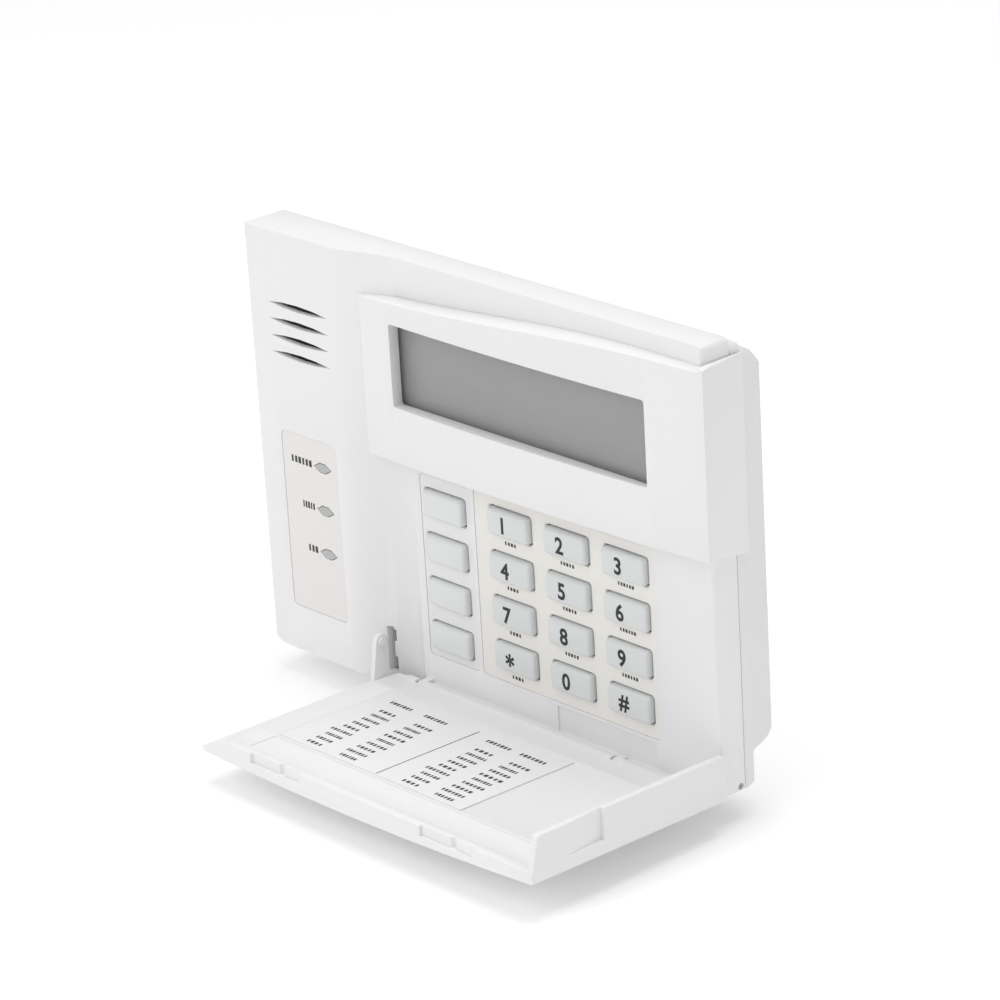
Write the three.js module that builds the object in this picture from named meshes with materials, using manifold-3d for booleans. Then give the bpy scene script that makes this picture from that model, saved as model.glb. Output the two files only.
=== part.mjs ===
// Alarm keypad panel: a wall-mounted two-part case with a raised display hood, a status panel, twelve number keys,
// four function keys and a fold-down door. Millimetres. X runs to the right, Y into the wall, Z up.
// Heights are counted from the foot of the case inside one group that is lowered by half the case height.
import * as THREE from "three";
import { mergeVertices } from "three/addons/utils/BufferGeometryUtils.js";
import Module from "manifold-3d";

// Overall sizes
const CASE_WIDTH = 189;
const CASE_HEIGHT = 135;
const BOX_DEPTH = 8.6;
const WALL = 2;
const GAP = 0.3;
const LEFT = -CASE_WIDTH / 2;
const SIDE_DRAFT = 3;
const HOOD_RIGHT = CASE_WIDTH / 2;
const CHEEK = 2.5;
const RIGHT = HOOD_RIGHT - CHEEK;
const fromLeft = (distance) => LEFT + distance;
const fromRight = (distance) => HOOD_RIGHT - distance;
const fromHead = (distance) => CASE_HEIGHT - distance;

// Depth levels, front to back, with the wall at zero
const RIM_BACK = -BOX_DEPTH;
const RIM_FRONT = RIM_BACK - 3.5;
const SEAM = RIM_FRONT - GAP;
const DECK = SEAM - 9.3;
const BAND = DECK - 1.1;
const PANEL = DECK - 6.5;
const CROWN = DECK - 6.8;
const BOARD_FRONT = SEAM - 3.2;
const BOARD_BACK = BOARD_FRONT + 1.6;
const RECESS = 0.5;
const LABEL_THICK = 0.3;

// Case outline
const SMALL_CORNER = 2;
const FOOT_CORNER = 9;
const EDGE_SOFT = 1.2;
const SWEEP_START = fromLeft(38.5);
const SWEEP_END = fromLeft(62.5);
const DECK_FOOT = 11.5;
const DECK_HEAD = 70.2;
const BOX_LEFT = LEFT + 3;
const BOX_RIGHT = RIGHT - 1;
const BOX_FOOT = 7.2;
const BOX_HEAD = CASE_HEIGHT - 2.6;
const RIM_DROP = 2.2;
const BOARD_FOOT = 11;
const HEAD_CORNER = 4;
const SCREW_SPAN = 62;
const CABLE_HALF = 20;
const CABLE_FOOT = CASE_HEIGHT - 47;
const TERMINAL_PITCH = 9;

// Display hood
const HOOD_LEFT = fromLeft(50.5);
const HOOD_FOOT = DECK_HEAD + 3.5;
const CROWN_X = 5;
const CROWN_FALL = 3.08;
const WINDOW = { x0: fromLeft(63.4), x1: fromRight(21.8), z0: HOOD_FOOT + 17.3, z1: fromHead(18.4) };
const SLEEVE = 1.5;
const LENS_FRONT = BAND + WALL - 3.5;
const STEP = HOOD_FOOT + WALL + GAP;

// Keys
const KEY_HOLE_W = 17.6;
const KEY_HOLE_H = 8.9;
const KEY_GAP = 0.35;
const KEY_PROUD = 1.7;
const KEY_TRAVEL = 1.2;
const FLANGE = 1;
const FLANGE_THICK = 0.8;
const KEY_POST_W = 11.8;
const KEY_POST_H = 4.9;
const PITCH_X = 23.78;
const PITCH_Z = 14.06;
const NUMBER_X = fromRight(37.09) - 2 * PITCH_X;
const NUMBER_Z = DECK_HEAD - 7.73;
const FUNCTION_X = NUMBER_X - KEY_HOLE_W - 10.5;
const FUNCTION_Z = NUMBER_Z - 1.6;
const NUMBER_NAMES = ["1", "2", "3", "4", "5", "6", "7", "8", "9", "star", "0", "hash"];

// Label panels
const FUNCTION_PANEL = {
  x0: FUNCTION_X - KEY_HOLE_W / 2 - 1.95,
  x1: FUNCTION_X + KEY_HOLE_W / 2 + 2.45,
  z0: DECK_FOOT,
  z1: DECK_HEAD - 0.8,
};
const NUMBER_PANEL = {
  x0: FUNCTION_PANEL.x1 + 1.4,
  x1: NUMBER_X + 2 * PITCH_X + KEY_HOLE_W / 2 + 2.1,
  z0: DECK_FOOT,
  z1: DECK_HEAD,
};
const STATUS_PANEL = { x0: fromLeft(10.6), x1: fromLeft(35.8), z0: 14.8, z1: 72 };
const LENS_X = fromLeft(28.8);
const LENS_Z = [63.4, 49.6, 35.6];
const SLOT_X = fromLeft(22.7);
const SLOT_LENGTH = 26.8;
const SLOT_Z = [0, 1, 2, 3].map((i) => fromHead(22.7) - 5.2 * i);
const SOUNDER_RADIUS = 12.5;

// Door and hinge; in door coordinates Y is counted inwards and Z upwards from the hinge line with the door shut
const HINGE_Y = DECK - 3.55;
const HINGE_Z = 1.75;
const DOOR_OPEN = 88.6;
const DOOR_HEAD = HOOD_FOOT - GAP - HINGE_Z;
const DOOR_FOOT = -1.65;
const DOOR_LEFT = HOOD_LEFT - 1.5;
const FLOOR = DECK - KEY_PROUD - HINGE_Y - 0.5;
const CARD_FLOOR = FLOOR - 0.3;
const CARD_FOOT = 9.5;
const CARD_HEAD = DOOR_HEAD - 16.65;
const CARD_LEFT = SWEEP_END + 0.6;
const CARD_RIGHT = fromRight(47.8);
const BEAD = 0.6;
const RAMP = DOOR_HEAD - 6.25;
const LIP = 3;
const SIDE_INNER = RIGHT + 0.4;
const SIDE_REACH = SEAM + 0.55 - HINGE_Y;
const SCOOP_FOOT = DOOR_HEAD - 27.15;
const EDGE_RADIUS = 1.9;
const PIN_RADIUS = 0.7;
const PIN_CLEAR = 0.15;
const LUG_RADIUS = 1.5;
const LUG_WIDTH = 2.4;
const LUG_X = [SWEEP_END + 2.5, fromRight(40.5)];
const TAB_X = HOOD_LEFT - 0.2;
const TAB_THICK = 1.7;
const TAB_CLEAR = 0.25;
const BOSS = 0.7;
const PEG_RADIUS = 1.1;

const wasm = await Module();
wasm.setup();

const plastic = (color, roughness) => new THREE.MeshStandardMaterial({ color, roughness, metalness: 0 });
const white = plastic(0xececed, 0.45);
const backWhite = plastic(0xdedddd, 0.5);
const keyGrey = plastic(0xdcdedd, 0.4);
const cream = plastic(0xeeece6, 0.5);
const warmGrey = plastic(0xe4e0dc, 0.5);
const glass = new THREE.MeshStandardMaterial({ color: 0x989898, roughness: 0.15, metalness: 0 });
const boardGreen = plastic(0x2f6b45, 0.5);
const rubberGrey = plastic(0xb9bbb8, 0.8);
const black = plastic(0x1c1c1e, 0.5);
const steel = new THREE.MeshStandardMaterial({ color: 0xb9bcc0, roughness: 0.3, metalness: 1 });

// A geometry as a solid body facing outwards
function solid(geometry) {
  const plain = geometry.index ? geometry.toNonIndexed() : geometry.clone();
  plain.deleteAttribute("normal");
  plain.deleteAttribute("uv");
  const merged = mergeVertices(plain, 1e-4);
  const vertProperties = merged.attributes.position.array;
  const triVerts = new Uint32Array(merged.index.array);
  const body = new wasm.Manifold(new wasm.Mesh({ numProp: 3, vertProperties, triVerts }));
  if (body.volume() > 0) {
    return body;
  }
  for (let i = 0; i < triVerts.length; i += 3) {
    [triVerts[i + 1], triVerts[i + 2]] = [triVerts[i + 2], triVerts[i + 1]];
  }
  return new wasm.Manifold(new wasm.Mesh({ numProp: 3, vertProperties, triVerts }));
}

function geometryOf(body) {
  const mesh = body.getMesh();
  const geometry = new THREE.BufferGeometry();
  geometry.setAttribute("position", new THREE.BufferAttribute(mesh.vertProperties, 3));
  geometry.setIndex(new THREE.BufferAttribute(mesh.triVerts, 1));
  return geometry;
}

function polygon(points) {
  return new THREE.Shape(points.map(([x, y]) => new THREE.Vector2(x, y)));
}

// A rectangle with its own radius at each corner: foot left, foot right, head right, head left
function rounded(x0, z0, x1, z1, radii) {
  const r = Array.isArray(radii) ? radii : [radii, radii, radii, radii];
  const shape = new THREE.Shape();
  shape.absarc(x0 + r[0], z0 + r[0], r[0], Math.PI, Math.PI * 1.5);
  shape.absarc(x1 - r[1], z0 + r[1], r[1], Math.PI * 1.5, Math.PI * 2);
  shape.absarc(x1 - r[2], z1 - r[2], r[2], 0, Math.PI * 0.5);
  shape.absarc(x0 + r[3], z1 - r[3], r[3], Math.PI * 0.5, Math.PI);
  return shape;
}

// A pointed oval, long side along X
function vesica(x, z, length, height) {
  const shape = new THREE.Shape();
  shape.moveTo(x - length / 2, z);
  shape.quadraticCurveTo(x, z - height, x + length / 2, z);
  shape.quadraticCurveTo(x, z + height, x - length / 2, z);
  return shape;
}

const extrude = (shape, depth, curveSegments = 3) =>
  new THREE.ExtrudeGeometry(shape, { depth, curveSegments, bevelEnabled: false });

// Shapes drawn in X and Z, pushed from the front level to the back level
function facing(shape, front, back, curveSegments) {
  return solid(extrude(shape, back - front, curveSegments).rotateX(Math.PI / 2).translate(0, back, 0));
}

// Shapes drawn in X and Y, pushed upwards
function upright(shape, foot, head) {
  return solid(extrude(shape, head - foot).translate(0, 0, foot));
}

// Shapes drawn in Y and Z, pushed to the right
function sideways(shape, from, to) {
  const turn = new THREE.Matrix4().makeBasis(
    new THREE.Vector3(0, 1, 0),
    new THREE.Vector3(0, 0, 1),
    new THREE.Vector3(1, 0, 0),
  );
  return solid(extrude(shape, to - from).applyMatrix4(turn).translate(from, 0, 0));
}

function box(x0, x1, y0, y1, z0, z1) {
  const block = new THREE.BoxGeometry(x1 - x0, y1 - y0, z1 - z0);
  return solid(block.translate((x0 + x1) / 2, (y0 + y1) / 2, (z0 + z1) / 2));
}

function rodX(radius, x0, x1, y, z) {
  const rod = new THREE.CylinderGeometry(radius, radius, x1 - x0, 16);
  return solid(rod.rotateZ(Math.PI / 2).translate((x0 + x1) / 2, y, z));
}

function rodY(radius, front, back, x, z, sides = 14) {
  const rod = new THREE.CylinderGeometry(radius, radius, back - front, sides);
  return solid(rod.translate(x, (front + back) / 2, z));
}

// A turned body about a line along Y; the profile lists radius and level
function turned(profile, x, z, sides = 24) {
  const points = profile.map(([radius, level]) => new THREE.Vector2(radius, level));
  return solid(new THREE.LatheGeometry(points, sides).translate(x, 0, z));
}

// A skin through rings of equal length, closed with a fan at both ends
function loft(rings) {
  const count = rings[0].length;
  const position = rings.flat(2);
  const index = [];
  for (let k = 0; k + 1 < rings.length; k++) {
    for (let i = 0; i < count; i++) {
      const a = k * count + i;
      const b = k * count + ((i + 1) % count);
      index.push(a, b, a + count, b, b + count, a + count);
    }
  }
  const last = (rings.length - 1) * count;
  for (let i = 1; i + 1 < count; i++) {
    index.push(0, i + 1, i, last, last + i, last + i + 1);
  }
  const geometry = new THREE.BufferGeometry();
  geometry.setAttribute("position", new THREE.Float32BufferAttribute(position, 3));
  geometry.setIndex(index);
  return solid(geometry);
}

const join = (bodies) => bodies.reduce((all, body) => all.add(body));
const cut = (body, tools) => tools.reduce((rest, tool) => rest.subtract(tool), body);

const panel = new THREE.Group();
const upper = new THREE.Group();
upper.position.z = -CASE_HEIGHT / 2;
panel.add(upper);

function piece(name, body, material, group = upper) {
  const mesh = new THREE.Mesh(geometryOf(body), material);
  mesh.name = name;
  group.add(mesh);
}

const ease = (t) => t * t * (3 - 2 * t);
const crown = (x) => CROWN + CROWN_FALL * ((x - CROWN_X) / (HOOD_RIGHT - CROWN_X)) ** 2;

// Front surface of the case: left panel, soft sweep, then the given level
function surface(x, level) {
  const t = Math.min(1, Math.max(0, (x - SWEEP_START) / (SWEEP_END - SWEEP_START)));
  return PANEL + (level - PANEL) * ease(t);
}

function sweep(level, shift) {
  const points = [];
  for (let i = 0; i <= 12; i++) {
    const x = SWEEP_START + ((SWEEP_END - SWEEP_START) * i) / 12;
    points.push([x, surface(x, level) + shift]);
  }
  return points;
}

function arc(x, y, radius, from, to, steps) {
  const points = [];
  for (let i = 0; i <= steps; i++) {
    const angle = from + ((to - from) * i) / steps;
    points.push([x + radius * Math.cos(angle), y + radius * Math.sin(angle)]);
  }
  return points;
}

// Plan of the front case, grown or shrunk by the inset, down to the given back level
function plan(level, inset, back) {
  const soft = Math.max(0.2, EDGE_SOFT - inset);
  const turn = Math.max(0.2, 1.2 - inset);
  const x0 = LEFT + inset;
  const x1 = RIGHT - inset;
  return polygon([
    [x0 - SIDE_DRAFT, back],
    ...arc(x0 + soft, PANEL + inset + soft, soft, Math.PI, Math.PI * 1.5, 4),
    ...sweep(level, inset),
    ...arc(x1 - turn, level + inset + turn, turn, Math.PI * 1.5, Math.PI * 2, 3),
    [x1, back],
  ]);
}

// Front view of the case at its widest, shrunk by the inset; the head can be set lower
const outline = (inset, drop = 0) =>
  rounded(LEFT - SIDE_DRAFT + inset, inset, RIGHT - inset, CASE_HEIGHT - drop - inset, [
    FOOT_CORNER - inset,
    Math.max(0.5, SMALL_CORNER - inset),
    Math.max(0.5, SMALL_CORNER - inset),
    HEAD_CORNER - inset,
  ]);

// Side view of the back case, shrunk by the inset: a rim, then a box whose foot and head lean in to the wall
const backProfile = (inset) =>
  polygon([
    [RIM_FRONT - 2, -1],
    [RIM_BACK - 2.2, -0.01],
    [RIM_BACK, 2],
    [RIM_BACK, BOX_FOOT + inset],
    [-6 - inset, BOX_FOOT + 3.4 + inset],
    [-1.7 - inset, BOX_FOOT + 5.8 + inset],
    [1 - inset, BOX_FOOT + 9.4 + inset],
    [1 - inset, BOX_HEAD - 9.6 - inset],
    [-2.4 - inset, BOX_HEAD - 4 - inset],
    [-7.7 - inset, BOX_HEAD - 0.6 - inset],
    [RIM_BACK - 1, BOX_HEAD + 1],
    [RIM_BACK - 1, CASE_HEIGHT],
    [RIM_FRONT - 2, CASE_HEIGHT],
  ]);

// Back case: a shallow tray with a rim, a wall plate, a cable window and four screw slots
function backCase() {
  const boxShape = (inset) =>
    rounded(BOX_LEFT + inset, BOX_FOOT + inset, BOX_RIGHT - inset, BOX_HEAD - inset, [
      6 - inset,
      6 - inset,
      8 - inset,
      8 - inset,
    ]);
  const lean = (inset) => sideways(backProfile(inset), LEFT - SIDE_DRAFT - 1, RIGHT + 1);
  const rim = facing(outline(0, RIM_DROP), RIM_FRONT, RIM_BACK);
  const outer = join([rim, facing(boxShape(0), RIM_BACK - 1, 0)]).intersect(lean(0));
  const slots = [-1, 1].flatMap((side) =>
    [28, fromHead(19)].map((z) => facing(around({ x: side * SCREW_SPAN, z }, 9, 4.4, 2.1), -WALL - 3, 1)),
  );
  return cut(outer, [
    facing(outline(WALL, RIM_DROP), RIM_FRONT - 1, RIM_BACK - 1.6),
    facing(boxShape(WALL), RIM_FRONT - 1, -WALL).intersect(lean(WALL)),
    facing(rounded(-CABLE_HALF, CABLE_FOOT, CABLE_HALF, CABLE_FOOT + 20, 2), -WALL - 3, 1),
    ...slots,
  ]);
}

const KEYS = [];
NUMBER_NAMES.forEach((name, i) => {
  const column = i % 3;
  const row = Math.floor(i / 3);
  KEYS.push({ name: "key_" + name, x: NUMBER_X + PITCH_X * column, z: NUMBER_Z - PITCH_Z * row });
});
for (let row = 0; row < 4; row++) {
  KEYS.push({ name: "function_key_" + (row + 1), x: FUNCTION_X, z: FUNCTION_Z - PITCH_Z * row });
}

const around = (key, w, h, r) => rounded(key.x - w / 2, key.z - h / 2, key.x + w / 2, key.z + h / 2, r);

const POSTS = [
  [LEFT + 8, 17],
  [LEFT + 8, CASE_HEIGHT - 9],
  [RIGHT - 6.5, 17],
  [RIGHT - 6.5, CASE_HEIGHT - 8],
];

const surfaceAt = (x, z) => surface(x, z > STEP ? BAND : DECK);

const DISPLAY = (grow, z = grow) =>
  rounded(WINDOW.x0 - grow, WINDOW.z0 - z, WINDOW.x1 + grow, WINDOW.z1 + z, 1);

const inPanel = (area, inset, r) => rounded(area.x0 + inset, area.z0 + inset, area.x1 - inset, area.z1 - inset, r);

// Front case: the white shell with the status panel, the key deck and the seat of the display
function frontCase() {
  const skin = join([
    upright(plan(DECK, 0, SEAM), 0, CASE_HEIGHT),
    upright(plan(BAND, 0, SEAM), STEP, CASE_HEIGHT),
    box(SWEEP_END, RIGHT - 0.3, DECK - 1.25, DECK + 1, 0, 2.2),
  ]).intersect(facing(outline(0), CROWN - 5, 0));
  const hollow = join([
    upright(plan(DECK, WALL, SEAM + 1), -1, STEP + WALL),
    upright(plan(BAND, WALL, SEAM + 1), STEP, CASE_HEIGHT),
  ]).intersect(facing(outline(WALL), CROWN - 5, 0));
  const posts = POSTS.map(([x, z]) => rodY(3, surfaceAt(x, z) + WALL - 0.5, BOARD_FRONT - 0.1, x, z));
  const lugs = LUG_X.flatMap((x) => [
    rodX(LUG_RADIUS, x - LUG_WIDTH / 2, x + LUG_WIDTH / 2, HINGE_Y, HINGE_Z),
    box(x - LUG_WIDTH / 2, x + LUG_WIDTH / 2, HINGE_Y, DECK + 0.5, HINGE_Z - LUG_RADIUS, HINGE_Z + LUG_RADIUS),
  ]);
  const slotLeft = TAB_X - TAB_CLEAR;
  const slotRight = TAB_X + TAB_THICK + TAB_CLEAR;
  const slotTop = HINGE_Z + 15.5;
  const ribFront = surface(slotLeft, DECK) + 0.7;
  const ribs = [
    box(slotLeft - 1.2, slotLeft + 0.1, ribFront, BOARD_FRONT - 0.5, WALL - 0.5, slotTop + 1),
    box(slotRight + BOSS - 0.1, slotRight + BOSS + 1.2, ribFront + 1, BOARD_FRONT - 0.5, WALL - 0.5, slotTop + 1),
  ];
  return cut(join([skin.subtract(hollow), ...posts, ...lugs, ...ribs]), [
    rodX(PEG_RADIUS, RIGHT - WALL - 0.5, RIGHT + 1, SEAM - PEG_RADIUS - 0.4, WALL),
    ...POSTS.map(([x, z]) => rodY(1.2, BOARD_FRONT - 5, BOARD_FRONT + 1, x, z)),
    ...LUG_X.map((x) => rodX(PIN_RADIUS + PIN_CLEAR, x - 3, x + 3, HINGE_Y, HINGE_Z)),
    ...KEYS.map((key) => facing(around(key, KEY_HOLE_W, KEY_HOLE_H, 1), DECK - 3, DECK + 4, 2)),
    facing(inPanel(FUNCTION_PANEL, 0, 1.5), DECK - 1, DECK + RECESS),
    facing(inPanel(NUMBER_PANEL, 0, 1.5), DECK - 1, DECK + RECESS),
    facing(rounded(fromRight(68.7), 2.2, fromRight(28), DECK_FOOT - 1.1, [0.3, 0.3, 1, 1]), DECK - 1, DECK + RECESS),
    facing(inPanel(STATUS_PANEL, 0, 2), PANEL - 1, PANEL + RECESS),
    ...LENS_Z.map((z) => facing(vesica(LENS_X, z, 7.9, 3.4), PANEL - 1, PANEL + 4)),
    ...SLOT_Z.map((z) => facing(vesica(SLOT_X, z, SLOT_LENGTH, 2.1), PANEL - 1, PANEL + 4, 4)),
    facing(DISPLAY(3), BAND - 3, BAND + 4),
    box(slotLeft, slotRight, PANEL, BOARD_FRONT, HINGE_Z + 1.1, slotTop),
    box(slotLeft, slotRight + BOSS, PANEL, BOARD_FRONT, HINGE_Z + 1.1, HINGE_Z + 5.8),
    box(slotLeft, slotRight + BOSS, PANEL, BOARD_FRONT, HINGE_Z + 10.8, HINGE_Z + 14.6),
    box(fromRight(30.5), fromRight(24.5), SEAM - 1.5, SEAM + 1, -1, WALL + 1),
  ]);
}

// Display hood: a crowned moulding over the right of the case, with a right cheek that covers the case side
function along(x, share) {
  const t = (x - HOOD_LEFT + 6) / (share * (HOOD_RIGHT - HOOD_LEFT));
  return ease(Math.min(1, Math.max(0, t)));
}

const hoodHead = (x) => fromHead(12.6) + 6.4 * along(x, 0.9);
const hoodLedge = (x) => fromHead(12.1) + 7.1 * along(x, 0.83);

function displayBezel() {
  const stations = [
    [HOOD_LEFT - 1.6, 1.5],
    [HOOD_LEFT - 1.3, 0.8],
    [HOOD_LEFT - 0.6, 0.25],
  ];
  for (let i = 0; i <= 14; i++) {
    stations.push([HOOD_LEFT + 0.6 + ((HOOD_RIGHT - HOOD_LEFT - 0.6) * i) / 14, 0]);
  }
  const outer = loft(
    stations.map(([x, dip]) => [
      [x, crown(x) + dip, HOOD_FOOT + dip * 0.3],
      [x, crown(x) + dip, hoodHead(x) - dip * 0.3],
      [x, DECK - 0.1, hoodLedge(x)],
      [x, DECK - 0.1, HOOD_FOOT],
    ]),
  );
  const rings = [];
  for (let i = 0; i <= 14; i++) {
    const x = HOOD_LEFT + 1 + ((SIDE_INNER - 0.1 - HOOD_LEFT - 1) * i) / 14;
    rings.push([
      [x, crown(x) + WALL, HOOD_FOOT + WALL],
      [x, crown(x) + WALL, hoodHead(x) - WALL],
      [x, DECK + 1, hoodLedge(x) - WALL],
      [x, DECK + 1, HOOD_FOOT + WALL],
    ]);
  }
  const shell = outer.subtract(loft(rings));
  const sleeve = outer.intersect(facing(DISPLAY(SLEEVE), CROWN - 3, LENS_FRONT - 0.1));
  const cheek = upright(
    polygon([
      [RIGHT + GAP, crown(HOOD_RIGHT) + 0.5],
      [HOOD_RIGHT, crown(HOOD_RIGHT)],
      [HOOD_RIGHT, crown(HOOD_RIGHT) + 4],
      [RIGHT + GAP + 0.8, RIM_BACK + 0.1],
      [RIGHT + GAP, RIM_BACK + 0.1],
    ]),
    HOOD_FOOT - 3,
    hoodLedge(HOOD_RIGHT),
  );
  const below = polygon([
    [crown(HOOD_RIGHT) - 1, HOOD_FOOT],
    [DECK, HOOD_FOOT],
    [RIM_BACK + 1, HOOD_FOOT - 2.2],
    [RIM_BACK + 1, HOOD_FOOT - 9],
    [crown(HOOD_RIGHT) - 1, HOOD_FOOT - 9],
  ]);
  const lean = polygon([
    [CROWN, hoodHead(HOOD_RIGHT)],
    [BAND, hoodLedge(HOOD_RIGHT)],
    [0, hoodLedge(HOOD_RIGHT)],
    [0, CASE_HEIGHT + 20],
    [CROWN, CASE_HEIGHT + 20],
  ]);
  const clear = (level, foot, head) => {
    const edge = [[RIGHT + GAP, level - 0.12], [RIGHT + GAP, 0]];
    return upright(polygon([[LEFT, 0], [LEFT, PANEL - 0.12], ...sweep(level, -0.12), ...edge]), foot, head);
  };
  return cut(join([shell, sleeve, cheek]), [
    sideways(below, RIGHT - 5, HOOD_RIGHT + 1),
    sideways(lean, RIGHT - 5, HOOD_RIGHT + 1),
    clear(DECK, HOOD_FOOT - 5, STEP),
    clear(BAND, STEP - 0.15, CASE_HEIGHT),
    facing(DISPLAY(0), CROWN - 3, DECK + 3),
  ]);
}

// Display stack: clear lens, glass, holder and backlight
function lcdFrame() {
  return cut(facing(DISPLAY(6, 5.8), BAND + WALL + 0.2, BOARD_FRONT - 0.3), [
    facing(DISPLAY(2.3), BAND, BOARD_FRONT - 1.7),
    facing(rounded(WINDOW.x0 + 20, WINDOW.z0 + 6, WINDOW.x1 - 20, WINDOW.z1 - 6, 1), BAND, SEAM),
  ]);
}

function circuitBoard() {
  const edge = WALL + 0.8;
  const shape = rounded(LEFT + edge, BOARD_FOOT, RIGHT - edge, CASE_HEIGHT - edge, 2);
  return cut(facing(shape, BOARD_FRONT, BOARD_BACK), [
    ...POSTS.map(([x, z]) => rodY(1.3, BOARD_FRONT - 1, BOARD_BACK + 1, x, z)),
    box(TAB_X - 2.5, TAB_X + TAB_THICK + 3, BOARD_FRONT - 1, BOARD_BACK + 1, 0, HINGE_Z + 14),
  ]);
}

// The square post behind a key, grown by the given clearance
const post = (key, grow, front, back) =>
  box(
    key.x - KEY_POST_W / 2 - grow,
    key.x + KEY_POST_W / 2 + grow,
    front,
    back,
    key.z - KEY_POST_H / 2 - grow,
    key.z + KEY_POST_H / 2 + grow,
  );

function keyCap(key) {
  const w = KEY_HOLE_W - 2 * KEY_GAP;
  const h = KEY_HOLE_H - 2 * KEY_GAP;
  const bevel = 0.6;
  const front = DECK - KEY_PROUD;
  const back = DECK + WALL + 0.2;
  const cap = new THREE.ExtrudeGeometry(around(key, w, h, 1), {
    depth: back + 0.4 - front - bevel,
    curveSegments: 2,
    bevelSize: bevel,
    bevelOffset: -bevel,
    bevelThickness: bevel,
    bevelSegments: 1,
  });
  return join([
    solid(cap.rotateX(Math.PI / 2).translate(0, back + 0.4, 0)).intersect(
      box(key.x - w, key.x + w, front - 1, back + 0.3, key.z - h, key.z + h),
    ),
    facing(around(key, w + 2 * FLANGE, h + 2 * FLANGE, 1), back, back + FLANGE_THICK, 1),
    post(key, 0, back + 0.5, BOARD_FRONT - KEY_TRAVEL - 0.2),
  ]);
}

function keypadMat() {
  const flangeBack = DECK + WALL + 0.2 + FLANGE_THICK;
  const shape = rounded(FUNCTION_PANEL.x0 - 1, FUNCTION_PANEL.z0, NUMBER_PANEL.x1 + 1, NUMBER_PANEL.z1, 2);
  return cut(
    facing(shape, flangeBack + KEY_TRAVEL + GAP, BOARD_FRONT - 0.4),
    KEYS.map((key) => post(key, 0.5, DECK, SEAM)),
  );
}

// A printed sheet lying in a recess of the given front level, with a hole round each key
function overlay(area, keys) {
  const sheet = facing(inPanel(area, 0.15, 1.3), DECK + RECESS - 0.05 - LABEL_THICK, DECK + RECESS - 0.05);
  return cut(
    sheet,
    keys.map((key) => facing(around(key, KEY_HOLE_W + 0.5, KEY_HOLE_H + 0.5, 1.2), DECK - 3, DECK + 3, 2)),
  );
}

function statusLabel() {
  const level = PANEL + RECESS - 0.05;
  return cut(
    facing(inPanel(STATUS_PANEL, 0.15, 1.8), level - LABEL_THICK, level),
    LENS_Z.map((z) => facing(vesica(LENS_X, z, 8.1, 3.6), PANEL - 2, PANEL + 2)),
  );
}

function statusLens(z) {
  const inner = PANEL + WALL;
  return join([
    facing(vesica(LENS_X, z, 7.4, 3), PANEL + 0.1, inner + 0.5),
    facing(rounded(LENS_X - 5, z - 2.8, LENS_X + 5, z + 2.8, 0.8), inner + 0.1, inner + 0.9),
    rodY(1.6, inner + 0.5, BOARD_FRONT - 5.2, LENS_X, z),
  ]);
}

function statusLed(z) {
  const profile = [
    [0, BOARD_FRONT - 4.9],
    [0.9, BOARD_FRONT - 4.7],
    [1.5, BOARD_FRONT - 3.8],
    [1.5, BOARD_FRONT - 1.2],
    [1.9, BOARD_FRONT - 1.2],
    [1.9, BOARD_FRONT - 0.1],
    [0, BOARD_FRONT - 0.1],
  ];
  return turned(profile, LENS_X, z, 16);
}

function sounder() {
  const front = PANEL + WALL + 0.4;
  const profile = [
    [0, front + 0.6],
    [1.6, front + 0.6],
    [1.6, front],
    [SOUNDER_RADIUS - 1, front],
    [SOUNDER_RADIUS, front + 1],
    [SOUNDER_RADIUS, BOARD_FRONT - 0.2],
    [0, BOARD_FRONT - 0.2],
  ];
  return turned(profile, SLOT_X, (SLOT_Z[0] + SLOT_Z[3]) / 2, 32);
}

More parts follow.
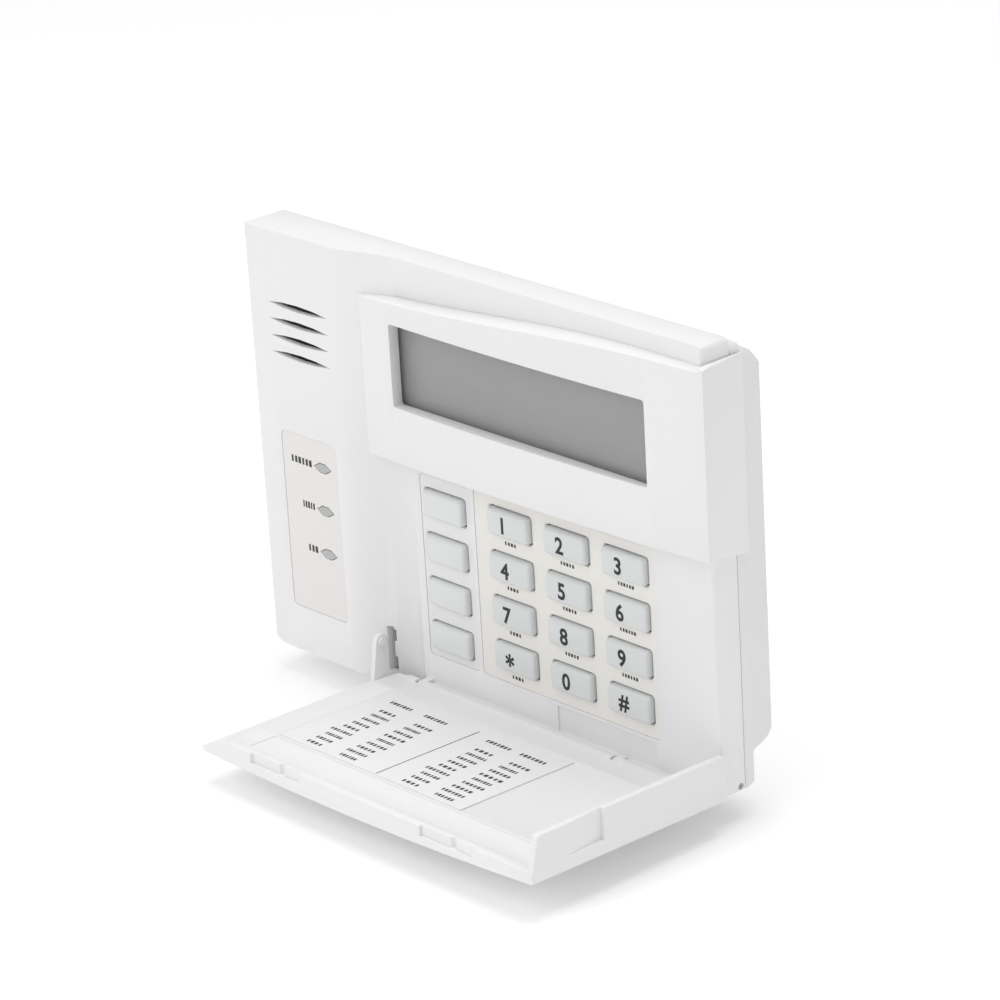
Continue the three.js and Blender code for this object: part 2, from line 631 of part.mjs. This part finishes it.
// Door, in its own coordinates from the hinge line
function door() {
  const face = (x) => crown(x) - HINGE_Y;
  const front = [];
  for (let i = 0; i <= 16; i++) {
    const x = DOOR_LEFT + 1 + ((HOOD_RIGHT - DOOR_LEFT - 1) * i) / 16;
    front.push([x, face(x)]);
  }
  const slab = upright(
    polygon([
      [DOOR_LEFT, LIP],
      [DOOR_LEFT, face(DOOR_LEFT) + 1],
      [DOOR_LEFT + 0.3, face(DOOR_LEFT) + 0.35],
      ...front,
      [HOOD_RIGHT, LIP],
    ]),
    DOOR_FOOT,
    DOOR_HEAD,
  );
  const inside = sideways(
    polygon([
      [EDGE_RADIUS, DOOR_FOOT - 1],
      [EDGE_RADIUS, 1.2],
      [FLOOR, 2.4],
      [FLOOR, RAMP],
      [LIP, DOOR_HEAD - 2.4],
      [LIP, DOOR_HEAD + 1],
      [20, DOOR_HEAD + 1],
      [20, DOOR_FOOT - 1],
    ]),
    LEFT,
    HOOD_RIGHT + 1,
  );
  const side = sideways(
    polygon([
      [face(HOOD_RIGHT), DOOR_FOOT],
      ...arc(1.8, -1.4, 1.8, Math.PI, Math.PI * 1.5, 3),
      ...arc(SIDE_REACH - 1.6, -1.6, 1.6, Math.PI * 1.5, Math.PI * 2, 3),
      ...arc(SIDE_REACH - 1, DOOR_HEAD - 3.45, 1, 0, Math.PI * 0.5, 3),
      [face(HOOD_RIGHT), DOOR_HEAD],
    ]),
    SIDE_INNER,
    HOOD_RIGHT,
  );
  const tabFoot = surface(TAB_X, DECK) - HINGE_Y - 0.9;
  const tab = sideways(
    polygon([[tabFoot, 1.65], [tabFoot, 8.05], ...arc(12.2, 4.1, 2.2, Math.PI * 0.47, -Math.PI * 0.47, 8)]),
    TAB_X,
    TAB_X + TAB_THICK,
  );
  const boss = rodX(1.4, TAB_X + 1, TAB_X + TAB_THICK + BOSS, 12.2, 4.1);
  const edge = sideways(
    polygon([
      ...arc(0, 0, EDGE_RADIUS, 0, -Math.PI * 0.5, 6),
      [0, DOOR_FOOT - 2],
      [EDGE_RADIUS + 3, DOOR_FOOT - 2],
      [EDGE_RADIUS + 3, 0],
    ]),
    LEFT,
    RIGHT + 0.35,
  );
  const behind = upright(
    polygon([[LEFT, 30], [LEFT, PANEL - HINGE_Y - 0.35], ...sweep(DECK, -HINGE_Y - 0.35), [SWEEP_END, 30]]),
    DOOR_FOOT - 1,
    DOOR_HEAD + 1,
  );
  const scoop = upright(
    polygon([
      [HOOD_RIGHT - 1.2, 4],
      [HOOD_RIGHT + 2, 4],
      [HOOD_RIGHT + 2, SIDE_REACH + 1],
      [HOOD_RIGHT - 1.2, SIDE_REACH + 1],
    ]),
    SCOOP_FOOT,
    SCOOP_FOOT + 16,
  ).intersect(facing(
      polygon([[HOOD_RIGHT - 1.2, SCOOP_FOOT], [HOOD_RIGHT + 0.1, SCOOP_FOOT + 16], [HOOD_RIGHT + 3, SCOOP_FOOT]]),
      0,
      20,
    ));
  const slotted = LUG_X.map((x) =>
    box(x - LUG_WIDTH / 2 - 0.4, x + LUG_WIDTH / 2 + 0.4, -LUG_RADIUS - 0.25, 8, DOOR_FOOT - 2, LUG_RADIUS + 0.45),
  );
  const notches = [DOOR_LEFT + 32.6, fromRight(34.6)].flatMap((x) => [
    box(x - 10.9, x + 10.9, 0, LIP + 1, DOOR_HEAD - 1.1, DOOR_HEAD + 1),
    rodY(1.1, 0, LIP + 1, x + 2.2, DOOR_HEAD - 1.1, 12),
  ]);
  const recesses = [
    box(CARD_LEFT, SIDE_INNER, CARD_FLOOR, FLOOR + 1, CARD_FOOT + BEAD, CARD_HEAD - BEAD),
    box(CARD_LEFT, SIDE_INNER, CARD_FLOOR, FLOOR + 1, CARD_HEAD + BEAD, RAMP),
  ];
  const bead = polygon([
    [FLOOR - 0.5, -BEAD],
    [FLOOR, -BEAD],
    [FLOOR + 0.25, -0.2],
    [FLOOR + 0.25, 0.2],
    [FLOOR, BEAD],
    [FLOOR - 0.5, BEAD],
  ]);
  const beads = [CARD_FOOT, CARD_HEAD].map((z) =>
    sideways(bead, DOOR_LEFT + 6.5, SIDE_INNER + 0.5).translate(0, 0, z),
  );
  const leaf = cut(slab, [inside, behind, edge, box(LEFT, SWEEP_END - 4, -9, 9, DOOR_FOOT - 1, 0.8), ...recesses]);
  return cut(join([leaf, side, tab, boss, ...beads]), [
    scoop,
    ...slotted,
    ...notches,
    ...LUG_X.map((x) => rodX(PIN_RADIUS + PIN_CLEAR, x - 4.8, x + 4.8, 0, 0)),
  ]);
}

function terminalBlock() {
  const block = box(-14, 22, BOARD_BACK + 0.1, -WALL - 2.5, CABLE_FOOT + 4, CABLE_FOOT + 16);
  const pitch = TERMINAL_PITCH;
  return cut(
    block,
    [0, 1, 2, 3].flatMap((i) => [
      rodY(2.1, -WALL - 5.5, -WALL - 1, -9.5 + pitch * i, CABLE_FOOT + 11.5, 16),
      box(-11.5 + pitch * i, -7.5 + pitch * i, -WALL - 8, -WALL - 5, CABLE_FOOT + 2, CABLE_FOOT + 9),
    ]),
  );
}

function screw(x, z, headBack, headRadius, shank) {
  const head = rodY(headRadius, headBack - 1.4, headBack, x, z, 16);
  const slot = box(x - headRadius, x + headRadius, headBack - 0.5, headBack + 1, z - 0.3, z + 0.3);
  const top = head.subtract(slot);
  return shank ? join([top, rodY(1, headBack - 1.4 - shank, headBack - 1, x, z, 12)]) : top;
}

piece("back_case", backCase(), backWhite);
piece("front_case", frontCase(), white);
piece("display_bezel", displayBezel(), white);
piece("display_lens", facing(DISPLAY(2.3), LENS_FRONT, LENS_FRONT + 0.8), glass);
piece("lcd_glass", facing(DISPLAY(2), LENS_FRONT + 1.1, LENS_FRONT + 2.9), glass);
piece("lcd_frame", lcdFrame(), black);
piece("lcd_backlight", facing(DISPLAY(1.8), LENS_FRONT + 3.1, BOARD_FRONT - 2), warmGrey);
piece("circuit_board", circuitBoard(), boardGreen);
piece("keypad_mat", keypadMat(), rubberGrey);
KEYS.forEach((key) => piece(key.name, keyCap(key), keyGrey));
piece("keypad_overlay", overlay(NUMBER_PANEL, KEYS.slice(0, 12)), cream);
piece("function_overlay", overlay(FUNCTION_PANEL, KEYS.slice(12)), white);
piece("status_label", statusLabel(), warmGrey);
LENS_Z.forEach((z, i) => piece("status_lens_" + (i + 1), statusLens(z), keyGrey));
LENS_Z.forEach((z, i) => piece("status_led_" + (i + 1), statusLed(z), keyGrey));
piece("sounder", sounder(), black);
piece("terminal_block", terminalBlock(), boardGreen);
for (let i = 0; i < 4; i++) {
  const screwX = -9.5 + TERMINAL_PITCH * i;
  piece("terminal_screw_" + (i + 1), screw(screwX, CABLE_FOOT + 11.5, -WALL - 3.5, 1.8, 0), steel);
}
POSTS.forEach(([x, z], i) => piece("board_screw_" + (i + 1), screw(x, z, BOARD_BACK + 1.5, 2.4, 5), steel));
piece("controller_chip", box(-60, -46, BOARD_BACK + 0.05, BOARD_BACK + 1.5, 60, 74), black);
LUG_X.forEach((x, i) => {
  const pin = rodX(PIN_RADIUS, x - 4.5, x + 4.5, HINGE_Y, HINGE_Z);
  piece(i ? "hinge_pin_right" : "hinge_pin_left", pin, steel);
});

const doorGroup = new THREE.Group();
doorGroup.position.set(0, HINGE_Y, HINGE_Z);
doorGroup.rotation.x = THREE.MathUtils.degToRad(DOOR_OPEN);
upper.add(doorGroup);
piece("door", door(), white, doorGroup);
const cardShape = rounded(CARD_LEFT + 0.15, CARD_FOOT + BEAD + 0.15, CARD_RIGHT, CARD_HEAD - BEAD - 0.15, 0.6);
const card = facing(cardShape, CARD_FLOOR + 0.08, CARD_FLOOR + 0.33);
piece("door_card", card, cream, doorGroup);

export default panel;
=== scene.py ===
import math
import bmesh
import bpy
from mathutils import Matrix, Vector


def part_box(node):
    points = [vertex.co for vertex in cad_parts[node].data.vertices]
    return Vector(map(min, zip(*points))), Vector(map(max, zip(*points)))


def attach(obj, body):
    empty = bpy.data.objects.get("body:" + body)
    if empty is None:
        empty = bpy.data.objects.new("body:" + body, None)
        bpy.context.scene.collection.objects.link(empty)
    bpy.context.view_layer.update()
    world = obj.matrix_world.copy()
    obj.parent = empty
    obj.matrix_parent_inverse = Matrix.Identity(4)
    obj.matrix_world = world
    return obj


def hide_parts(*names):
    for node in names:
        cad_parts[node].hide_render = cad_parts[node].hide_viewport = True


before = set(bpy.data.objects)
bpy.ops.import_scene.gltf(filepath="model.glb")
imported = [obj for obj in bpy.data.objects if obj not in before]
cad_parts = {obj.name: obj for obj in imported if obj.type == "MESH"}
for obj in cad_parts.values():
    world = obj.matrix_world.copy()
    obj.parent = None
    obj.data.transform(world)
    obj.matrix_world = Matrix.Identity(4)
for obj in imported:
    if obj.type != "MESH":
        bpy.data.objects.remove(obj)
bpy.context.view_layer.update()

# Camera: a long lens from the right, a little above, so that the front, right side and open door show.
bpy.ops.object.select_all(action="DESELECT")
bpy.ops.object.camera_add(location=(0.86751, -0.78635, 0.45137))
camera = bpy.context.object
camera.rotation_euler = [math.radians(a) for a in (68.64645, 3.13421, 47.18242)]
camera.data.lens = 154.773
camera.data.sensor_width = 36
camera.data.clip_end = 50
bpy.context.scene.camera = camera

# Studio: a plain pale floor under the panel, a white surround and three large soft lamps.
bpy.ops.mesh.primitive_plane_add(size=12, location=(0, 0, -0.0765))
floor = bpy.context.object
floor.name = "floor"
floor_paint = bpy.data.materials.new("floor_paint")
floor_paint.use_nodes = True
floor_paint.node_tree.nodes["Principled BSDF"].inputs["Base Color"].default_value = (0.93, 0.93, 0.93, 1)
floor_paint.node_tree.nodes["Principled BSDF"].inputs["Roughness"].default_value = 0.9
floor_paint.node_tree.nodes["Principled BSDF"].inputs["Emission Color"].default_value = (1, 1, 1, 1)
floor_paint.node_tree.nodes["Principled BSDF"].inputs["Emission Strength"].default_value = 0.1
floor.data.materials.append(floor_paint)
world = bpy.data.worlds.new("surround")
world.use_nodes = True
world.node_tree.nodes["Background"].inputs["Color"].default_value = (1, 1, 1, 1)
world.node_tree.nodes["Background"].inputs["Strength"].default_value = 0.6
bpy.context.scene.world = world
bpy.context.scene.view_settings.view_transform = "Standard"
lamps = (
    ((-0.5, -1.6, 1.5), 1.6, 14.2),
    ((1.5, -0.3, 0.9), 1.0, 0.7),
    ((0.1, 0.2, 1.7), 1.2, 12.8),
)
for place, size, power in lamps:
    bpy.ops.object.light_add(type="AREA", location=place)
    lamp = bpy.context.object
    lamp.data.size = size
    lamp.data.energy = power
    lamp.rotation_euler = (-Vector(place)).to_track_quat("-Z", "Y").to_euler()


# Moulded shells: front case, back case, display hood and door are injection-moulded ABS, finely satin.
# Their edges are softened by a third to half a millimetre, as the mould leaves them.
class Value:
    """A socket in a material, which adds, multiplies and compares like a number."""

    def __init__(self, tree, socket):
        self.tree = tree
        self.socket = socket

    def node(self, kind, inputs, output=0, **settings):
        made = self.tree.nodes.new(kind)
        for name, setting in settings.items():
            setattr(made, name, setting)
        for key, value in inputs.items():
            if isinstance(value, Value):
                self.tree.links.new(value.socket, made.inputs[key])
            else:
                made.inputs[key].default_value = value
        return Value(self.tree, made.outputs[output])

    def math(self, operation, first, second):
        return self.node("ShaderNodeMath", {0: first, 1: second}, operation=operation)

    def __add__(self, other):
        return self.math("ADD", self, other)

    def __mul__(self, other):
        return self.math("MULTIPLY", self, other)

    def __sub__(self, other):
        return self.math("SUBTRACT", self, other)

    def __rsub__(self, other):
        return self.math("SUBTRACT", other, self)

    __radd__ = __add__
    __rmul__ = __mul__


def plastic(name, low, high, roughness, grain, bump, coat=0.0, soften=0.0):
    """Moulded plastic: a faint cloud of tone from low to high, fine grain in the bump and the roughness."""
    made = bpy.data.materials.new(name)
    made.use_nodes = True
    tree = made.node_tree
    shader = tree.nodes["Principled BSDF"]
    place = Value(tree, tree.nodes.new("ShaderNodeTexCoord").outputs["Object"])
    cloud = place.node("ShaderNodeTexNoise", {"Vector": place, "Scale": 22.0, "Detail": 3.0})
    fine = place.node("ShaderNodeTexNoise", {"Vector": place, "Scale": grain, "Detail": 2.0})
    mix = tree.nodes.new("ShaderNodeMix")
    mix.data_type = "RGBA"
    tree.links.new(cloud.socket, mix.inputs[0])
    mix.inputs[6].default_value = low + (1,)
    mix.inputs[7].default_value = high + (1,)
    tree.links.new(mix.outputs[2], shader.inputs["Base Color"])
    rough = fine * 0.12 + (roughness - 0.06)
    tree.links.new(rough.socket, shader.inputs["Roughness"])
    relief = place.node("ShaderNodeBump", {"Height": fine, "Strength": bump, "Distance": 0.00006})
    tree.links.new(relief.socket, shader.inputs["Normal"])
    shader.inputs["Coat Weight"].default_value = coat
    shader.inputs["Subsurface Weight"].default_value = soften
    shader.inputs["Subsurface Radius"].default_value = (0.002, 0.002, 0.002)
    return made


case_white = plastic("case_white", (0.80, 0.79, 0.80), (0.835, 0.825, 0.835), 0.42, 2600.0, 0.5)
case_back = plastic("case_back", (0.765, 0.76, 0.765), (0.80, 0.795, 0.80), 0.46, 2600.0, 0.5)
for node, body, slot, paint, edge in (
    ("front_case", "panel", "case_white", case_white, 0.00035),
    ("display_bezel", "panel", "case_white", case_white, 0.0005),
    ("back_case", "panel", "case_back", case_back, 0.0004),
    ("door", "door", "case_white", case_white, 0.0003),
):
    bpy.ops.object.select_all(action="DESELECT")
    shell = bpy.data.objects.new(node + "_moulded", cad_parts[node].data.copy())
    bpy.context.collection.objects.link(shell)
    shell.data.materials.clear()
    shell.data.materials.append(paint)
    shell.select_set(True)
    bpy.context.view_layer.objects.active = shell
    bpy.ops.object.mode_set(mode="EDIT")
    bpy.ops.mesh.select_all(action="SELECT")
    bpy.ops.mesh.remove_doubles(threshold=0.000002)
    bpy.ops.mesh.dissolve_limited(angle_limit=math.radians(0.4))
    bpy.ops.object.mode_set(mode="OBJECT")
    soft = shell.modifiers.new("soft_edges", "BEVEL")
    soft.width = edge
    soft.segments = 2
    soft.limit_method = "ANGLE"
    soft.angle_limit = math.radians(32)
    soft.use_clamp_overlap = True
    soft.harden_normals = False
    bpy.ops.object.modifier_apply(modifier="soft_edges")
    bpy.ops.object.shade_smooth_by_angle(angle=math.radians(40))
    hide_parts(node)
    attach(shell, body)

# Keys: hard pale grey caps, slightly translucent, with rounded edges and a flange behind the deck.
# The four function keys at the left are blank; the twelve others carry a printed digit left of the middle.
key_gloss = {"roughness": 0.34, "grain": 1800.0, "bump": 0.15, "coat": 0.15, "soften": 0.25}
number_grey = plastic("number_grey", (0.665, 0.685, 0.685), (0.70, 0.72, 0.72), **key_gloss)
function_grey = plastic("function_grey", (0.70, 0.725, 0.705), (0.73, 0.755, 0.735), **key_gloss)
ink = plastic("ink", (0.012, 0.012, 0.013), (0.02, 0.02, 0.02), 0.5, 900.0, 0.1)
low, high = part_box("key_1")
flange = 0.001
face_w = (high.x - low.x) - 2 * flange
face_h = (high.z - low.z) - 2 * flange
cap_depth = 0.0047
bpy.ops.object.select_all(action="DESELECT")
bpy.ops.mesh.primitive_cube_add(size=1, location=(0, cap_depth / 2, 0))
first_cap = bpy.context.object
first_cap.scale = (face_w, cap_depth, face_h)
bpy.ops.object.transform_apply(location=True, rotation=False, scale=True)
for direction, radius, steps in (("depth", 0.0011, 4), ("front", 0.0009, 4)):
    bpy.ops.object.mode_set(mode="EDIT")
    work = bmesh.from_edit_mesh(first_cap.data)
    for edge in work.edges:
        a, b = edge.verts
        along = abs(a.co.y - b.co.y) > 0.004
        front = max(a.co.y, b.co.y) < 0.0001
        edge.select = along and len(work.verts) == 8 if direction == "depth" else front
    bmesh.update_edit_mesh(first_cap.data)
    bpy.ops.mesh.bevel(offset=radius, segments=steps, profile=0.5, affect="EDGES")
    bpy.ops.object.mode_set(mode="OBJECT")
bpy.ops.object.mode_set(mode="EDIT")
bpy.ops.mesh.select_all(action="DESELECT")
flange_size = (face_w + 2 * flange, 0.0008, face_h + 2 * flange)
bpy.ops.mesh.primitive_cube_add(size=1, location=(0, 0.0043, 0), scale=flange_size)
bpy.ops.object.mode_set(mode="OBJECT")
bpy.ops.object.shade_smooth_by_angle(angle=math.radians(40))
signs = {"star": "*", "hash": "#"}
digit_flat = (0.96, 1.0, 0.2, 1.0)
digit_place = Vector((-0.0017, -0.00004, -0.0002))
for node in [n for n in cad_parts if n.startswith(("key_", "function_key_"))]:
    low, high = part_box(node)
    middle = Vector(((low.x + high.x) / 2, low.y, (low.z + high.z) / 2))
    cap = bpy.data.objects.new(node + "_cap", first_cap.data.copy())
    bpy.context.collection.objects.link(cap)
    cap.data.transform(Matrix.Translation(middle))
    cap.data.materials.append(number_grey if node.startswith("key_") else function_grey)
    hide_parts(node)
    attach(cap, node + "_body")
    if node.startswith("function"):
        continue
    sign = signs.get(node[4:], node[4:])
    bpy.ops.object.select_all(action="DESELECT")
    bpy.ops.object.text_add()
    digit = bpy.context.object
    digit.name = "digit_" + node[4:]
    digit.data.body = sign
    digit.data.size = 0.0070 if sign != "*" else 0.0086
    digit.data.bevel_depth = 0.00019
    digit.data.bevel_resolution = 1
    digit.data.align_x = "CENTER"
    digit.data.align_y = "CENTER"
    bpy.ops.object.convert(target="MESH")
    corners = [v.co for v in digit.data.vertices]
    shift = Vector([(min(c[i] for c in corners) + max(c[i] for c in corners)) / 2 for i in range(3)])
    digit.data.transform(Matrix.Translation(-shift))
    digit.data.transform(Matrix.Diagonal(digit_flat))
    digit.data.transform(Matrix.Rotation(math.pi / 2, 4, "X"))
    digit.data.transform(Matrix.Translation(middle + digit_place))
    digit.data.materials.append(ink)
    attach(digit, node + "_body")
bpy.data.objects.remove(first_cap)

# Printed legends: short dashes under ten number keys and beside each status light, in place of words.
print_grey = plastic("print_grey", (0.03, 0.03, 0.032), (0.05, 0.05, 0.052), 0.55, 900.0, 0.1)


def dashes(name, marks, body):
    """One mesh of thin dashes; each mark is its middle and its full size."""
    bpy.ops.object.select_all(action="DESELECT")
    mesh = bpy.data.meshes.new(name)
    sheet = bpy.data.objects.new(name, mesh)
    bpy.context.collection.objects.link(sheet)
    bpy.context.view_layer.objects.active = sheet
    sheet.select_set(True)
    bpy.ops.object.mode_set(mode="EDIT")
    for middle, size in marks:
        bpy.ops.mesh.primitive_cube_add(size=1, location=middle, scale=size)
    bpy.ops.object.mode_set(mode="OBJECT")
    sheet.data.materials.append(print_grey)
    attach(sheet, body)
    return sheet


def word(x0, x1, y, z, height, letters):
    """Marks for one printed word as a row of upright dashes of varied width."""
    step = (x1 - x0) / letters
    return [
        ((x0 + step * (i + 0.5), y, z), (step * (0.62 + 0.12 * ((i * 7) % 3 - 1)), 0.00003, height))
        for i in range(letters)
    ]


overlay_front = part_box("keypad_overlay")[0].y - 0.00002
marks = []
lettered = [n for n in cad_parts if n.startswith("key_") and n not in ("key_0", "key_hash")]
for count, node in enumerate(lettered):
    low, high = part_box(node)
    middle = (low.x + high.x) / 2
    half = 0.0026 + 0.0004 * (count % 3)
    centre = middle - 0.0006
    marks += word(centre - half, centre + half, overlay_front, low.z - 0.0012, 0.00105, 4 + count % 3)
dashes("key_legends", marks, "panel")

label_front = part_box("status_label")[0].y - 0.00002
marks = []
for i, reach in ((1, 0.0098), (2, 0.0058), (3, 0.0047)):
    low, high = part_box("status_lens_%d" % i)
    middle = (low.z + high.z) / 2
    right = (low.x + high.x) / 2 - 0.0048
    marks += word(right - reach, right, label_front, middle + 0.0002, 0.0021, (6, 5, 3)[i - 1])
dashes("status_legends", marks, "panel")

# Display: a clear acrylic lens over grey display glass, held by a black frame, with a light guide behind.
# The glass colour carries painted shade towards its left and lower edges, standing in for the shadow the hood
# casts there.
lens_clear = plastic("lens_clear", (0.9, 0.91, 0.91), (0.93, 0.94, 0.94), 0.12, 60.0, 0.0)
lens_clear.node_tree.nodes["Principled BSDF"].inputs["Alpha"].default_value = 0.06
display_grey = bpy.data.materials.new("display_grey")
display_grey.use_nodes = True
tree = display_grey.node_tree
shader = tree.nodes["Principled BSDF"]
place = Value(tree, tree.nodes.new("ShaderNodeTexCoord").outputs["Object"])
low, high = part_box("lcd_glass")
across = place.node("ShaderNodeSeparateXYZ", {"Vector": place}, output=0)
up = place.node("ShaderNodeSeparateXYZ", {"Vector": place}, output=2)
# Painted shade: ramps from the left and lower edges of the glass that darken its colour where the hood shades
# it.
left_shade_ramp = (across - low.x) * (1 / 0.012)
left_shade_ramp = left_shade_ramp.math("MINIMUM", left_shade_ramp, 1.0)
foot_shade_ramp = (up - low.z) * (1 / (high.z - low.z))
grain = place.node("ShaderNodeTexNoise", {"Vector": place, "Scale": 90.0, "Detail": 1.0})
# Grey glass colour with the painted hood shade added in, darker towards the left and lower edges.
shade = left_shade_ramp * 0.05 + foot_shade_ramp * 0.04 + grain * 0.01 + 0.17
grey = place.node("ShaderNodeCombineColor", {"Red": shade, "Green": shade, "Blue": shade})
tree.links.new(grey.socket, shader.inputs["Base Color"])
tree.links.new((grain * 0.05 + 0.22).socket, shader.inputs["Roughness"])
black_plastic = plastic("black_plastic", (0.018, 0.018, 0.018), (0.03, 0.03, 0.03), 0.5, 1200.0, 0.3)
light_guide = plastic("light_guide", (0.68, 0.70, 0.66), (0.72, 0.74, 0.70), 0.3, 500.0, 0.1)
for node, paint in (
    ("display_lens", lens_clear),
    ("lcd_glass", display_grey),
    ("lcd_frame", black_plastic),
    ("lcd_backlight", light_guide),
):
    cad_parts[node].data.materials.clear()
    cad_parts[node].data.materials.append(paint)

# Printed sheets: a cream one round the number keys, a white one round the function keys, a warm status label.
# They are thin matt polycarbonate with a very fine emboss.
sheets = (
    ("keypad_overlay", "cream_sheet", (0.80, 0.785, 0.745), (0.83, 0.815, 0.775)),
    ("function_overlay", "white_sheet", (0.785, 0.78, 0.785), (0.81, 0.805, 0.81)),
    ("status_label", "warm_sheet", (0.765, 0.745, 0.73), (0.79, 0.77, 0.755)),
)
for node, name, low, high in sheets:
    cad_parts[node].data.materials.clear()
    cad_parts[node].data.materials.append(plastic(name, low, high, 0.5, 3200.0, 0.35))

# Status lights: pointed oval windows of smoky clear plastic with a light behind each.
smoky = plastic("smoky_lens", (0.40, 0.41, 0.405), (0.45, 0.46, 0.455), 0.25, 900.0, 0.1, 0.3)
led_clear = plastic("led_clear", (0.75, 0.77, 0.75), (0.8, 0.82, 0.8), 0.2, 500.0, 0.05, 0.3)
for i in (1, 2, 3):
    for node, paint in (("status_lens_%d" % i, smoky), ("status_led_%d" % i, led_clear)):
        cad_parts[node].data.materials.clear()
        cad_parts[node].data.materials.append(paint)

# Inside: green circuit board with a chip, green terminal block, zinc plated screws and pins, grey rubber mat
# and the black sounder behind the four slots.
board_green = plastic("board_green", (0.02, 0.13, 0.055), (0.035, 0.18, 0.08), 0.4, 900.0, 0.4)
terminal_green = plastic("terminal_green", (0.02, 0.2, 0.08), (0.03, 0.25, 0.1), 0.45, 900.0, 0.3)
rubber_grey = plastic("rubber_grey", (0.45, 0.46, 0.45), (0.5, 0.51, 0.5), 0.75, 1500.0, 0.5)
steel = plastic("zinc_steel", (0.52, 0.53, 0.54), (0.6, 0.6, 0.61), 0.32, 1500.0, 0.4)
steel.node_tree.nodes["Principled BSDF"].inputs["Metallic"].default_value = 1.0
inside = {"circuit_board": board_green, "terminal_block": terminal_green, "keypad_mat": rubber_grey}
inside.update({"controller_chip": black_plastic, "sounder": black_plastic})
inside.update({node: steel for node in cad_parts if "screw" in node or "pin" in node})
for node, paint in inside.items():
    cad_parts[node].data.materials.clear()
    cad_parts[node].data.materials.append(paint)

# Door card: a white printed card lying in the open door, with two tables of short dashes in place of words
# and a thin line between them. It lies on the door floor, tilted with it by 1.4 degrees.
card_white = plastic("card_white", (0.80, 0.79, 0.80), (0.835, 0.825, 0.835), 0.42, 2600.0, 0.3)
card_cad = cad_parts["door_card"]
card_cad.data.materials.clear()
card_cad.data.materials.append(card_white)
hinge = Vector((0, -0.02525, -0.06575))
lean = Matrix.Rotation(math.radians(-1.4), 4, "X")
tilt = Matrix.Translation(hinge) @ lean @ Matrix.Translation(-hinge)
card_top = hinge.z + 0.00138 + 0.00003


def card_word(x0, x1, y, height, letters):
    """One word as a row of upright strokes lying on the card, read from the front."""
    step = (x1 - x0) / letters
    return [
        ((x0 + step * (i + 0.5), y, card_top), (step * (0.60 + 0.12 * ((i * 5) % 3 - 1)), height, 0.00003))
        for i in range(letters)
    ]


marks = []
head_y = -0.0418
tall = 0.00135
half_column = 0.0062
for x0, width, second in ((-0.0252, 0.0092, 0.0148), (0.0166, 0.0100, 0.0142)):
    marks += card_word(x0, x0 + width + 0.0005, head_y, 0.0015, 7)
    marks += card_word(x0 + second, x0 + second + width + 0.001, head_y, 0.0015, 7)
    for row in range(9):
        y = -0.0482 - 0.00355 * row
        lead = 0.0012 * ((row * 4) % 5 - 2)
        wide = width * (0.72 + 0.07 * ((row * 3) % 4))
        centre = x0 + half_column
        marks += card_word(centre - wide / 2 + lead * 0.3, centre + wide / 2, y, tall, 4 + (row * 3) % 4)
        wide = width * (0.78 + 0.07 * ((row * 5) % 4))
        centre = x0 + second + half_column
        marks += card_word(centre - wide / 2, centre + wide / 2 - lead * 0.3, y, tall, 5 + (row * 5) % 3)
marks.append(((0.0106, -0.0590, card_top), (0.0003, 0.0400, 0.00003)))
card_print = dashes("card_print", marks, "door")
card_print.data.transform(tilt)
